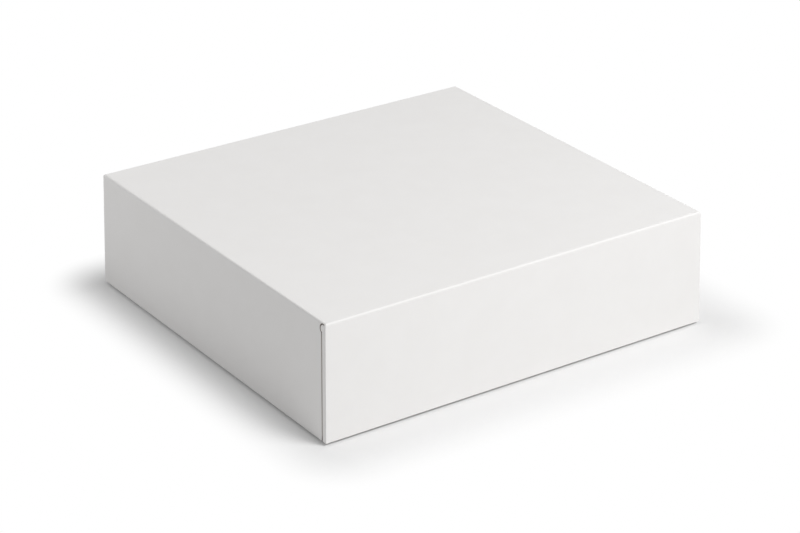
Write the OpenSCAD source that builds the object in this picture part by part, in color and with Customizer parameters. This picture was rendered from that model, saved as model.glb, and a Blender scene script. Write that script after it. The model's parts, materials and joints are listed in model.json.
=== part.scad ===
// Two-part cake box of white board: a full-depth lid that drops over a base tray.
// Each part is one flat blank, creased and folded into a tray with four glued corner tabs.
// The origin is on the surface the box stands on, under its middle; Z is up and the front
// is towards -Y.

/* [Lid] */
// Length of the lid's top panel, along X
lid_length = 280; // [200:1:360]
// Width of the lid's top panel, along Y
lid_width = 264; // [190:1:340]
// Height of the closed box
box_height = 78; // [50:1:120]
// How far each skirt of the lid leans out at its rim
skirt_flare = 1.8; // [0:0.1:3]
// Height of the skirts' rims above the surface
rim_gap = 1.6; // [0.5:0.1:4]

/* [Board] */
// Thickness of the board
board = 3.6; // [3:0.1:4.2]
// Outer radius of the crease between the panel and a wall
crease_r = 1.5; // [1:0.1:1.8]
// Radius of the roll of crushed board inside a crease
roll_r = 2.5; // [2.2:0.1:2.7]
// Distance from the top of a crease down to the middle of its roll
roll_drop = 4.1; // [3.9:0.1:4.5]
// How deep the roll lies under the wall's outer face
roll_cover = 0.2; // [0.1:0.05:0.6]

/* [Corner tabs] */
// Length of a corner tab
tab_length = 46; // [25:1:70]
// How much the tab's two long edges taper in towards its end
tab_taper = 9; // [2:0.5:14]
// Radius of the tab's two outer corners
tab_corner_r = 6; // [2:0.5:9]
// Outer radius of the upright fold between a wall and its tab
fold_r = 0.4; // [0.3:0.1:1.2]
// Gap between a tab and the wall it is glued behind
glue_gap = 0.8; // [0.2:0.1:1]
// Width of the slit that parts a folded wall from the end of the next wall's roll
slit = 0.9; // [0.4:0.05:1]
// How far the tab stops short of the rim
tab_rim_gap = 3; // [1:0.25:8]

/* [Fit] */
// Clearance between the base's walls and the lid's corner tabs
side_clearance = 0.7; // [0.4:0.05:2]
// Clearance between the base's rims and the underside of the lid
seat_gap = 0.2; // [0.1:0.05:0.6]

/* [Hidden] */
white_board = [0.93, 0.93, 0.92];
curve_fn = 48;
corner_steps = 6;
// A crease turns a little further than its wall needs, so that it runs well into the wall
crease_turn = 93;

// Points of a quarter circle about a centre, from one angle, turning clockwise
function quarter(centre, r, from) =
    [for (i = [0 : corner_steps])
        let (a = from - 90 * i / corner_steps)
        centre + r * [cos(a), sin(a)]];

// What the base leaves free at each side of the lid: a wall, the tab glued behind it
// and the clearance
lid_side = 2 * board + glue_gap + side_clearance;
base_length = lid_length - 2 * lid_side;
base_width = lid_width - 2 * lid_side;
base_depth = box_height - board - seat_gap;
lid_depth = box_height - rim_gap;

// Where the flat of a folded wall ends, measured from the outer face of the next wall
fold_inset = board + glue_gap + fold_r;

// Axis of a roll, from its wall's outer face and from its crease's axis
roll_inset = roll_r + roll_cover;
roll_z = crease_r - roll_drop;

// A pie-shaped rod along X, from one place to another: it turns a board down to a wall
module crease_rod(from, to) {
    translate([from, 0, 0])
        rotate([180, -90, 0])
            rotate_extrude(angle = crease_turn, $fn = curve_fn)
                square([crease_r, to - from]);
}

// A flat of board in the XZ plane, its outer face a fold's radius in front of the fold's axis
module flat(points, radius) {
    translate([0, board - radius, 0])
        rotate([90, 0, 0])
            linear_extrude(board)
                polygon(points);
}

// Sets its children at the crease of the wall towards -Y: X runs along the crease's axis,
// -Z down the wall and -Y outwards
module at_crease(across) {
    translate([0, crease_r - across / 2, -crease_r])
        children();
}

// Room between the outer faces of the walls at the two ends of a wall, rounded at their
// creases and leaning out
module between_ends(length, across, depth, flare) {
    reach = across + 2 * flare;
    rotate([90, 0, 0])
        linear_extrude(reach, center = true)
            for (side = [0, 1])
                mirror([side, 0]) {
                    translate([length / 2 - crease_r, -crease_r])
                        circle(crease_r, $fn = curve_fn);
                    polygon([
                        [0, 0],
                        [length / 2 - crease_r, 0],
                        [length / 2 - crease_r, -crease_r],
                        [length / 2, -crease_r],
                        [length / 2 + flare, -depth],
                        [0, -depth],
                    ]);
                }
}

// How the outline of a wall ends, from its crease down to its rim. A cut end goes straight
// down; a folded end is wider beside the next wall's roll and then follows the fold.
function end_outline(half, flare, height, is_folded) = is_folded
    ? [
        [half - roll_inset, 0],
        [half - roll_inset, roll_z],
        [half - fold_inset, roll_z],
        [half - fold_inset + flare, -height],
    ]
    : [
        [half + flare, 0],
        [half + flare, -height],
    ];

// Outline of a wall, both ends
function wall_outline(half, flare, height, folded) =
    let (
        left = end_outline(half, flare, height, folded[0]),
        right = end_outline(half, flare, height, folded[1])
    )
    concat(
        [for (point = left) [-point.x, point.y]],
        [for (i = [len(right) - 1 : -1 : 0]) right[i]]
    );

// A corner tab folded in from the end of a wall. X runs in from the fold's axis and the
// tab hangs along -Z; its outline tapers and has two round corners.
module corner_tab(height) {
    tab_top = roll_r + slit - roll_z;
    tab_bottom = height - tab_rim_gap;
    end_top = tab_top + tab_taper;
    end_bottom = tab_bottom - tab_taper;
    outline = concat(
        [[0, -tab_bottom], [0, -tab_top]],
        quarter([tab_length - tab_corner_r, -end_top - tab_corner_r], tab_corner_r, 90),
        quarter([tab_length - tab_corner_r, -end_bottom + tab_corner_r], tab_corner_r, 0)
    );
    flat(outline, fold_r);
    // the upright fold that joins the tab to its wall
    translate([0, 0, -tab_bottom])
        rotate([0, 0, 180])
            rotate_extrude(angle = 90, $fn = curve_fn)
                square([fold_r, tab_bottom - tab_top]);
}

// The wall towards -Y with its crease, the roll of crushed board inside it, and its tabs.
// folded tells whether its -X end and its +X end fold in to a tab glued behind the next
// wall. An end that doesn't is cut off flush with the next wall's outer face.
module wall(length, across, depth, flare, folded) {
    half = length / 2;
    lean = atan(flare / (depth - crease_r));
    height = (depth - crease_r) / cos(lean);
    // the crease of a folded end stops at the next wall's crease
    reach = [for (is_folded = folded) half - (is_folded ? crease_r : 0)];
    intersection() {
        difference() {
            at_crease(across) {
                crease_rod(-reach[0], reach[1]);
                rotate([-lean, 0, 0]) {
                    flat(wall_outline(half, flare, height, folded), crease_r);
                    translate([-half - flare, roll_inset - crease_r, roll_z])
                        rotate([0, 90, 0])
                            cylinder(r = roll_r, h = length + 2 * flare, $fn = curve_fn);
                }
            }
            // a folded end is cut away round the end of the next wall's roll
            for (end = [0, 1])
                if (folded[end])
                    mirror([end, 0, 0])
                        at_crease(across)
                            translate([roll_inset - half, 2 * board, roll_z])
                                rotate([90, 0, 0])
                                    cylinder(r = roll_r + slit, h = 4 * board, $fn = curve_fn);
        }
        between_ends(length, across, depth, flare);
    }
    for (end = [0, 1])
        if (folded[end])
            mirror([end, 0, 0])
                at_crease(across)
                    rotate([-lean, 0, 0])
                        translate([fold_inset - half, fold_r - crease_r, 0])
                            rotate([0, atan(flare / height), 0])
                                rotate([0, 0, 90])
                                    mirror([0, 1, 0])
                                        corner_tab(height);
}

// One blank folded into a tray: the panel is on top and its walls hang down. The front
// wall has two cut ends, each side wall folds in behind it, and the back wall folds in
// behind both side walls.
module tray(length, width, depth, flare) {
    translate([crease_r - length / 2, crease_r - width / 2, -board])
        cube([length - 2 * crease_r, width - 2 * crease_r, board]);
    wall(length, width, depth, flare, [false, false]);
    for (side = [0, 1])
        mirror([side, 0, 0])
            rotate([0, 0, 90])
                wall(width, length, depth, flare, [true, false]);
    rotate([0, 0, 180])
        wall(length, width, depth, flare, [true, true]);
}

// The tray that holds the cake: its panel is the floor and its walls stand up
module base() {
    color(white_board)
        mirror([0, 0, 1])
            tray(base_length, base_width, base_depth, 0);
}

// The full-depth lid, resting over the base
module lid() {
    color(white_board)
        translate([0, 0, box_height])
            tray(lid_length, lid_width, lid_depth, skirt_flare);
}

base();
lid();
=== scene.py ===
"""Cake box of white board: the finish of its lid and base, a pale studio and the camera."""

import json
import math

import bpy
from bpy.props import FloatProperty, FloatVectorProperty, PointerProperty
from bpy.types import Operator, Panel, PropertyGroup
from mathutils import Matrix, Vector

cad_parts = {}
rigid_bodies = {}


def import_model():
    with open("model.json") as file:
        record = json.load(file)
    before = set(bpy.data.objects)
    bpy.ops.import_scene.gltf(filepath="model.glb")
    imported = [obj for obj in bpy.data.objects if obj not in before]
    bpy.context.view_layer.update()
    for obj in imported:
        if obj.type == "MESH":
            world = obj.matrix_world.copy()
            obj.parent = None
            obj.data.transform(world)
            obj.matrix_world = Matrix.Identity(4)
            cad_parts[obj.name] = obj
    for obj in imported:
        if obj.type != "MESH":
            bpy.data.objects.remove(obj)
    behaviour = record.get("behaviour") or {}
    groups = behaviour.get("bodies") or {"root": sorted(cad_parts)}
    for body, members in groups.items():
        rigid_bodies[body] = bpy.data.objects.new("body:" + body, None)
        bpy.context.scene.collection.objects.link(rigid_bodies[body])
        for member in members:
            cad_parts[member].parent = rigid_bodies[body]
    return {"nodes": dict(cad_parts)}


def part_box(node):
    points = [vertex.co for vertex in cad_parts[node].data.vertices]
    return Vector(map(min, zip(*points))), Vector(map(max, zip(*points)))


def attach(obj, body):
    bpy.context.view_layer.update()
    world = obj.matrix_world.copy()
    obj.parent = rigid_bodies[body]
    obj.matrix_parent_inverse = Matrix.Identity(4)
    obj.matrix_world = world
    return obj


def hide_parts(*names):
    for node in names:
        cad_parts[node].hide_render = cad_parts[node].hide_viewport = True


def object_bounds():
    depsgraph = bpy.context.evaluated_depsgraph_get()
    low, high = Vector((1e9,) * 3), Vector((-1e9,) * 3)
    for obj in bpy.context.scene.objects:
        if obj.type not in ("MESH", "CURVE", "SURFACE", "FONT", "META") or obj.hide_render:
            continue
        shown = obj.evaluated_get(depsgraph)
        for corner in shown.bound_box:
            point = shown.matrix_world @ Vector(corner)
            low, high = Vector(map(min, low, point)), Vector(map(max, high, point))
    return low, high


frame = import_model()
cad_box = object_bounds()

bl_info = {
    "name": "Cake Box",
    "version": (1, 0, 0),
    "blender": (4, 5, 0),
    "location": "View3D > Sidebar > Cake Box",
    "description": "Finishes a folded cake box and sets up its studio",
    "category": "Object",
}

MM = 0.001

# Loose triangles closer than this are joined, and faces flatter than this become one
MERGE_DISTANCE = 0.001 * MM
FLAT_ANGLE = math.radians(0.5)
# Edges sharper than this are rounded, and edges blunter than the next one are shaded smooth
CUT_EDGE_ANGLE = math.radians(50)
SMOOTH_ANGLE = math.radians(40)
ROUNDING_SEGMENTS = 2

# How far the lid's skirts lean out at their rims, as in the CAD
SKIRT_FLARE = 1.8 * MM
# The faces inside a corner seam, which get painted shade, lie between these depths behind the
# walls' outer faces
SEAM_START = 0.8 * MM
SEAM_END = 8.2 * MM

PAPER_SPECULAR = 0.3
CLOUD_DETAIL = 4
CLOUD_ROUGHNESS = 0.6
CLOUD_RANGE = (0.35, 0.65)
FIBRE_DETAIL = 3
WAVE_DETAIL = 2
# The broad waves are this many times as wide as the clouds
WAVE_TO_CLOUD = 2

FLOOR_SIZE = 8
FLOOR_ROUGHNESS = 0.9
FLOOR_SPECULAR = 0.1
PLAIN_WHITE = 1.0
KEY_PLACE = (0.65, -1.2, 1.55)
KEY_SIZE = 1.0
FILL_PLACE = (-0.5, 0.45, 0.3)
FILL_SIZE = 0.25
SENSOR_WIDTH_MM = 36


class BoardProperties(PropertyGroup):
    """The white board that both trays are folded from."""

    paper_colour: FloatVectorProperty(
        name="Paper",
        description="Colour of the smooth white paper on the outside",
        subtype="COLOR",
        size=3,
        min=0.0,
        max=1.0,
        default=(0.855, 0.845, 0.835),
    )
    shade_colour: FloatVectorProperty(
        name="Uneven paper",
        description="Colour of the slightly duller clouds in the paper",
        subtype="COLOR",
        size=3,
        min=0.0,
        max=1.0,
        default=(0.845, 0.834, 0.823),
    )
    # Painted shade: dark grey colour for the faces inside the corner seams, standing in for the
    # shadow there
    seam_shade_colour: FloatVectorProperty(
        name="Painted seam shade",
        description="Colour of the painted shade inside the corner seams",
        subtype="COLOR",
        size=3,
        min=0.0,
        max=1.0,
        default=(0.46, 0.42, 0.4),
    )
    fibre_size: FloatProperty(
        name="Fibre size",
        description="Width of the finest paper fibres",
        unit="LENGTH",
        default=0.35 * MM,
    )
    cloud_size: FloatProperty(
        name="Cloud size",
        description="Width of the soft clouds in the paper's tone",
        unit="LENGTH",
        default=18 * MM,
    )
    fibre_relief: FloatProperty(
        name="Fibre relief",
        description="Height of the fibres",
        unit="LENGTH",
        default=0.012 * MM,
    )
    wave_relief: FloatProperty(
        name="Wave relief",
        description="Height of the board's broad, shallow waves",
        unit="LENGTH",
        default=0.05 * MM,
    )
    roughness: FloatProperty(
        name="Roughness",
        description="Roughness of the smooth white paper",
        min=0.0,
        max=1.0,
        default=0.55,
    )
    edge_rounding: FloatProperty(
        name="Edge rounding",
        description="Greatest width of the rounding on cut edges, which narrow faces hold down",
        unit="LENGTH",
        default=0.3 * MM,
    )


class StageProperties(PropertyGroup):
    """The floor, the lamps and the camera."""

    azimuth: FloatProperty(
        name="Azimuth",
        description="Direction that the camera looks from, turned about the box",
        subtype="ANGLE",
        default=math.radians(-34.48),
    )
    elevation: FloatProperty(
        name="Elevation",
        description="Height of the camera above the horizon",
        subtype="ANGLE",
        default=math.radians(25.23),
    )
    distance: FloatProperty(
        name="Distance",
        description="Distance from the camera to the point that it looks at",
        unit="LENGTH",
        default=1.612,
    )
    lens: FloatProperty(
        name="Lens",
        description="Focal length of the camera, in millimetres",
        default=114.8,
    )
    aim: FloatVectorProperty(
        name="Aim",
        description="Point that the camera looks at",
        subtype="TRANSLATION",
        size=3,
        default=(-0.0157, -0.026, 0.0402),
    )
    floor_colour: FloatVectorProperty(
        name="Floor",
        description="Colour of the studio floor",
        subtype="COLOR",
        size=3,
        min=0.0,
        max=1.0,
        default=(0.8, 0.8, 0.8),
    )
    sky_strength: FloatProperty(
        name="Sky",
        description="Strength of the even light from all round",
        default=0.395,
    )
    key_power: FloatProperty(
        name="Key lamp",
        description="Power of the large soft lamp in front of the long side",
        unit="POWER",
        default=28.3,
    )
    fill_power: FloatProperty(
        name="Fill lamp",
        description="Power of the small lamp beside the far end of the short side",
        unit="POWER",
        default=0.5,
    )
    shadow_reach: FloatProperty(
        name="Shadow reach",
        description="Distance from the box at which the floor looks plain white",
        unit="LENGTH",
        default=50 * MM,
    )
    shadow_shift: FloatVectorProperty(
        name="Shadow shift",
        description="How far the middle of the box's shadow lies from the middle of the box",
        subtype="TRANSLATION",
        size=3,
        default=(6 * MM, -6 * MM, 0),
    )


def select_only(obj):
    """Makes one object the only one selected, and the active one."""
    bpy.ops.object.select_all(action="DESELECT")
    obj.hide_set(False)
    obj.select_set(True)
    bpy.context.view_layer.objects.active = obj


def link_chain(tree, *ends):
    """Links pairs of sockets, given as from, to, from, to."""
    for start, end in zip(ends[::2], ends[1::2]):
        tree.links.new(start, end)


def board_material(name, paper, shade):
    """Lined board: smooth paper with faint clouds, fine fibres and broad shallow waves."""
    settings = bpy.context.scene.cakebox_board
    material = bpy.data.materials.new(name)
    material.use_nodes = True
    tree = material.node_tree
    nodes = tree.nodes
    shader = nodes["Principled BSDF"]
    shader.inputs["Roughness"].default_value = settings.roughness
    shader.inputs["Specular IOR Level"].default_value = PAPER_SPECULAR
    place = nodes.new("ShaderNodeTexCoord")

    clouds = nodes.new("ShaderNodeTexNoise")
    clouds.inputs["Scale"].default_value = 1 / settings.cloud_size
    clouds.inputs["Detail"].default_value = CLOUD_DETAIL
    clouds.inputs["Roughness"].default_value = CLOUD_ROUGHNESS
    tone = nodes.new("ShaderNodeMix")
    tone.data_type = "RGBA"
    tone.inputs["A"].default_value = (*shade, 1)
    tone.inputs["B"].default_value = (*paper, 1)
    spread = nodes.new("ShaderNodeMapRange")
    spread.inputs["From Min"].default_value, spread.inputs["From Max"].default_value = CLOUD_RANGE

    fibres = nodes.new("ShaderNodeTexNoise")
    fibres.inputs["Scale"].default_value = 1 / settings.fibre_size
    fibres.inputs["Detail"].default_value = FIBRE_DETAIL
    fibre_bump = nodes.new("ShaderNodeBump")
    fibre_bump.inputs["Distance"].default_value = settings.fibre_relief

    waves = nodes.new("ShaderNodeTexNoise")
    waves.inputs["Scale"].default_value = 1 / (WAVE_TO_CLOUD * settings.cloud_size)
    waves.inputs["Detail"].default_value = WAVE_DETAIL
    wave_bump = nodes.new("ShaderNodeBump")
    wave_bump.inputs["Distance"].default_value = settings.wave_relief

    for texture in (clouds, fibres, waves):
        tree.links.new(place.outputs["Object"], texture.inputs["Vector"])
    link_chain(
        tree,
        clouds.outputs["Fac"],
        spread.inputs["Value"],
        spread.outputs["Result"],
        tone.inputs["Factor"],
        tone.outputs["Result"],
        shader.inputs["Base Color"],
        waves.outputs["Fac"],
        wave_bump.inputs["Height"],
        wave_bump.outputs["Normal"],
        fibre_bump.inputs["Normal"],
        fibres.outputs["Fac"],
        fibre_bump.inputs["Height"],
        fibre_bump.outputs["Normal"],
        shader.inputs["Normal"],
    )
    return material


def softened_copy(node_name, piece_name):
    """Copies a tray, joins its loose triangles into whole faces and rounds its cut edges."""
    settings = bpy.context.scene.cakebox_board
    select_only(frame["nodes"][node_name])
    bpy.ops.object.duplicate()
    piece = bpy.context.object
    piece.name = piece_name
    bpy.ops.object.parent_clear(type="CLEAR_KEEP_TRANSFORM")
    for key in [key for key in piece.keys() if key.startswith("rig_")]:
        del piece[key]
    bpy.ops.object.mode_set(mode="EDIT")
    bpy.ops.mesh.select_all(action="SELECT")
    bpy.ops.mesh.remove_doubles(threshold=MERGE_DISTANCE)
    bpy.ops.mesh.dissolve_limited(angle_limit=FLAT_ANGLE)
    bpy.ops.object.mode_set(mode="OBJECT")
    bpy.ops.object.modifier_add(type="BEVEL")
    rounding = piece.modifiers[-1]
    rounding.width = settings.edge_rounding
    rounding.segments = ROUNDING_SEGMENTS
    rounding.limit_method = "ANGLE"
    rounding.angle_limit = CUT_EDGE_ANGLE
    bpy.ops.object.modifier_apply(modifier=rounding.name)
    bpy.ops.object.shade_smooth_by_angle(angle=SMOOTH_ANGLE)
    bpy.ops.object.modifier_add(type="WEIGHTED_NORMAL")
    evening = piece.modifiers[-1]
    evening.keep_sharp = True
    bpy.ops.object.modifier_apply(modifier=evening.name)
    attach(piece, node_name)
    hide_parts(node_name)
    return piece


def depth_in_corner(point, reach, flare, rim, panel):
    """How far a point lies behind the outer face of the farther of its corner's two walls."""
    lean = flare * (point.z - rim) / (panel - rim)
    return max(reach.x - abs(point.x), reach.y - abs(point.y)) - lean


def finish_tray(piece, reach, flare, rim, panel):
    """Gives a tray its white paper, and painted shade to the narrow faces in its corner seams."""
    settings = bpy.context.scene.cakebox_board
    piece.data.materials.clear()
    white = board_material("white_paper", settings.paper_colour, settings.shade_colour)
    seam_shade_paint = board_material("painted_seam_shade", settings.seam_shade_colour, settings.seam_shade_colour)
    for material in (white, seam_shade_paint):
        piece.data.materials.append(material)
    points = piece.data.vertices
    for face in piece.data.polygons:
        places = [points[i].co for i in face.vertices] + [face.center]
        depths = [depth_in_corner(place, reach, flare, rim, panel) for place in places]
        # Faces inside a corner seam take the painted seam shade
        face.material_index = int(min(depths) > SEAM_START and max(depths) < SEAM_END)


def give_material(obj, material):
    """Puts one material in every slot of an object."""
    if not obj.material_slots:
        obj.data.materials.append(material)
    for slot in obj.material_slots:
        slot.material = material


def camera_back(azimuth, elevation):
    """Direction from the box to the camera."""
    level = math.cos(elevation)
    return Vector((math.sin(azimuth) * level, -math.cos(azimuth) * level, math.sin(elevation)))


def vector_math(tree, operation, first, second=None):
    """Adds a vector math node fed by a socket, and by a constant if there is a second term."""
    node = tree.nodes.new("ShaderNodeVectorMath")
    node.operation = operation
    tree.links.new(first, node.inputs[0])
    if second is not None:
        node.inputs[1].default_value = second
    return node


def floor_material(reach):
    """Pale floor that keeps the shadow beside the box and looks plain white away from it."""
    settings = bpy.context.scene.cakebox_stage
    material = bpy.data.materials.new("studio_floor")
    material.use_nodes = True
    tree = material.node_tree
    shader = tree.nodes["Principled BSDF"]
    shader.inputs["Base Color"].default_value = (*settings.floor_colour, 1)
    shader.inputs["Roughness"].default_value = FLOOR_ROUGHNESS
    shader.inputs["Specular IOR Level"].default_value = FLOOR_SPECULAR
    plain = tree.nodes.new("ShaderNodeEmission")
    plain.inputs["Strength"].default_value = PLAIN_WHITE

    place = tree.nodes.new("ShaderNodeTexCoord")
    centred = vector_math(tree, "SUBTRACT", place.outputs["Object"], settings.shadow_shift)
    folded = vector_math(tree, "ABSOLUTE", centred.outputs["Vector"])
    beyond = vector_math(tree, "SUBTRACT", folded.outputs["Vector"], reach)
    outside = vector_math(tree, "MAXIMUM", beyond.outputs["Vector"], (0, 0, 0))
    gap = vector_math(tree, "LENGTH", outside.outputs["Vector"])
    fade = tree.nodes.new("ShaderNodeMapRange")
    fade.interpolation_type = "SMOOTHSTEP"
    fade.inputs["From Max"].default_value = settings.shadow_reach

    rays = tree.nodes.new("ShaderNodeLightPath")
    mirrored = tree.nodes.new("ShaderNodeMath")
    mirrored.operation = "MAXIMUM"
    seen = tree.nodes.new("ShaderNodeMath")
    seen.operation = "MAXIMUM"
    amount = tree.nodes.new("ShaderNodeMath")
    amount.operation = "MULTIPLY"
    blend = tree.nodes.new("ShaderNodeMixShader")
    link_chain(
        tree,
        rays.outputs["Is Glossy Ray"],
        mirrored.inputs[0],
        rays.outputs["Is Transmission Ray"],
        mirrored.inputs[1],
        rays.outputs["Is Camera Ray"],
        seen.inputs[0],
        mirrored.outputs["Value"],
        seen.inputs[1],
        gap.outputs["Value"],
        fade.inputs["Value"],
        fade.outputs["Result"],
        amount.inputs[0],
        seen.outputs["Value"],
        amount.inputs[1],
        amount.outputs["Value"],
        blend.inputs["Fac"],
        shader.outputs["BSDF"],
        blend.inputs[1],
        plain.outputs["Emission"],
        blend.inputs[2],
        blend.outputs["Shader"],
        tree.nodes["Material Output"].inputs["Surface"],
    )
    return material


def white_world():
    """Even light all round, and plain white where the camera sees past the floor."""
    settings = bpy.context.scene.cakebox_stage
    world = bpy.data.worlds.new("studio_world")
    bpy.context.scene.world = world
    world.use_nodes = True
    tree = world.node_tree
    background = tree.nodes["Background"]
    background.inputs["Color"].default_value = (1, 1, 1, 1)
    rays = tree.nodes.new("ShaderNodeLightPath")
    seen = tree.nodes.new("ShaderNodeMath")
    seen.operation = "MAXIMUM"
    level = tree.nodes.new("ShaderNodeMapRange")
    level.inputs["To Min"].default_value = settings.sky_strength
    level.inputs["To Max"].default_value = PLAIN_WHITE
    link_chain(
        tree,
        rays.outputs["Is Camera Ray"],
        seen.inputs[0],
        rays.outputs["Is Glossy Ray"],
        seen.inputs[1],
        seen.outputs["Value"],
        level.inputs["Value"],
        level.outputs["Result"],
        background.inputs["Strength"],
    )


def add_lamp(name, place, size, power):
    """Adds a round soft lamp that faces the box and that the camera doesn't see."""
    bpy.ops.object.light_add(type="AREA", location=place)
    lamp = bpy.context.object
    lamp.name = name
    lamp.data.shape = "DISK"
    lamp.data.size = size
    lamp.data.energy = power
    lamp.rotation_euler = (-lamp.location).to_track_quat("-Z", "Y").to_euler()
    lamp.visible_camera = False


class CAKEBOX_OT_lid(Operator):
    """Finish the lid in white board"""

    bl_idname = "cakebox.lid"
    bl_label = "Lid"

    def execute(self, context):
        low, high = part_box("lid")
        finish_tray(softened_copy("lid", "folded_lid"), high, SKIRT_FLARE, low.z, high.z)
        return {"FINISHED"}


class CAKEBOX_OT_base(Operator):
    """Finish the base tray in white board"""

    bl_idname = "cakebox.base"
    bl_label = "Base"

    def execute(self, context):
        low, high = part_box("base")
        finish_tray(softened_copy("base", "folded_base"), high, 0, high.z, low.z)
        return {"FINISHED"}


class CAKEBOX_OT_stage(Operator):
    """Add the floor, the lamps and the camera"""

    bl_idname = "cakebox.stage"
    bl_label = "Stage"

    def execute(self, context):
        settings = context.scene.cakebox_stage
        bpy.ops.mesh.primitive_plane_add(size=FLOOR_SIZE)
        floor = context.object
        floor.name = "studio_floor"
        corner = cad_box[1]
        give_material(floor, floor_material((corner.x, corner.y, 0)))
        white_world()

        add_lamp("key_lamp", KEY_PLACE, KEY_SIZE, settings.key_power)
        add_lamp("fill_lamp", FILL_PLACE, FILL_SIZE, settings.fill_power)

        aim = Vector(settings.aim)
        back = camera_back(settings.azimuth, settings.elevation)
        bpy.ops.object.camera_add(location=aim + back * settings.distance)
        camera = context.object
        camera.rotation_euler = (-back).to_track_quat("-Z", "Y").to_euler()
        camera.data.lens = settings.lens
        camera.data.sensor_width = SENSOR_WIDTH_MM
        context.scene.camera = camera
        context.scene.view_settings.view_transform = "Standard"
        return {"FINISHED"}


class CAKEBOX_PT_sidebar(Panel):
    """Lists the pieces of the cake box"""

    bl_label = "Cake Box"
    bl_space_type = "VIEW_3D"
    bl_region_type = "UI"
    bl_category = "Cake Box"

    def draw(self, context):
        for operator in OPERATORS:
            self.layout.operator(operator.bl_idname)


OPERATORS = (CAKEBOX_OT_lid, CAKEBOX_OT_base, CAKEBOX_OT_stage)
CLASSES = (BoardProperties, StageProperties, *OPERATORS, CAKEBOX_PT_sidebar)


def register():
    """Registers the classes and hangs the settings on the scene."""
    for cls in CLASSES:
        bpy.utils.register_class(cls)
    bpy.types.Scene.cakebox_board = PointerProperty(type=BoardProperties)
    bpy.types.Scene.cakebox_stage = PointerProperty(type=StageProperties)


def unregister():
    """Takes the settings and the classes away again."""
    del bpy.types.Scene.cakebox_stage
    del bpy.types.Scene.cakebox_board
    for cls in reversed(CLASSES):
        bpy.utils.unregister_class(cls)


def main():
    """Builds everything in order."""
    register()
    bpy.ops.cakebox.lid()
    bpy.ops.cakebox.base()
    bpy.ops.cakebox.stage()


if __name__ == "__main__":
    main()
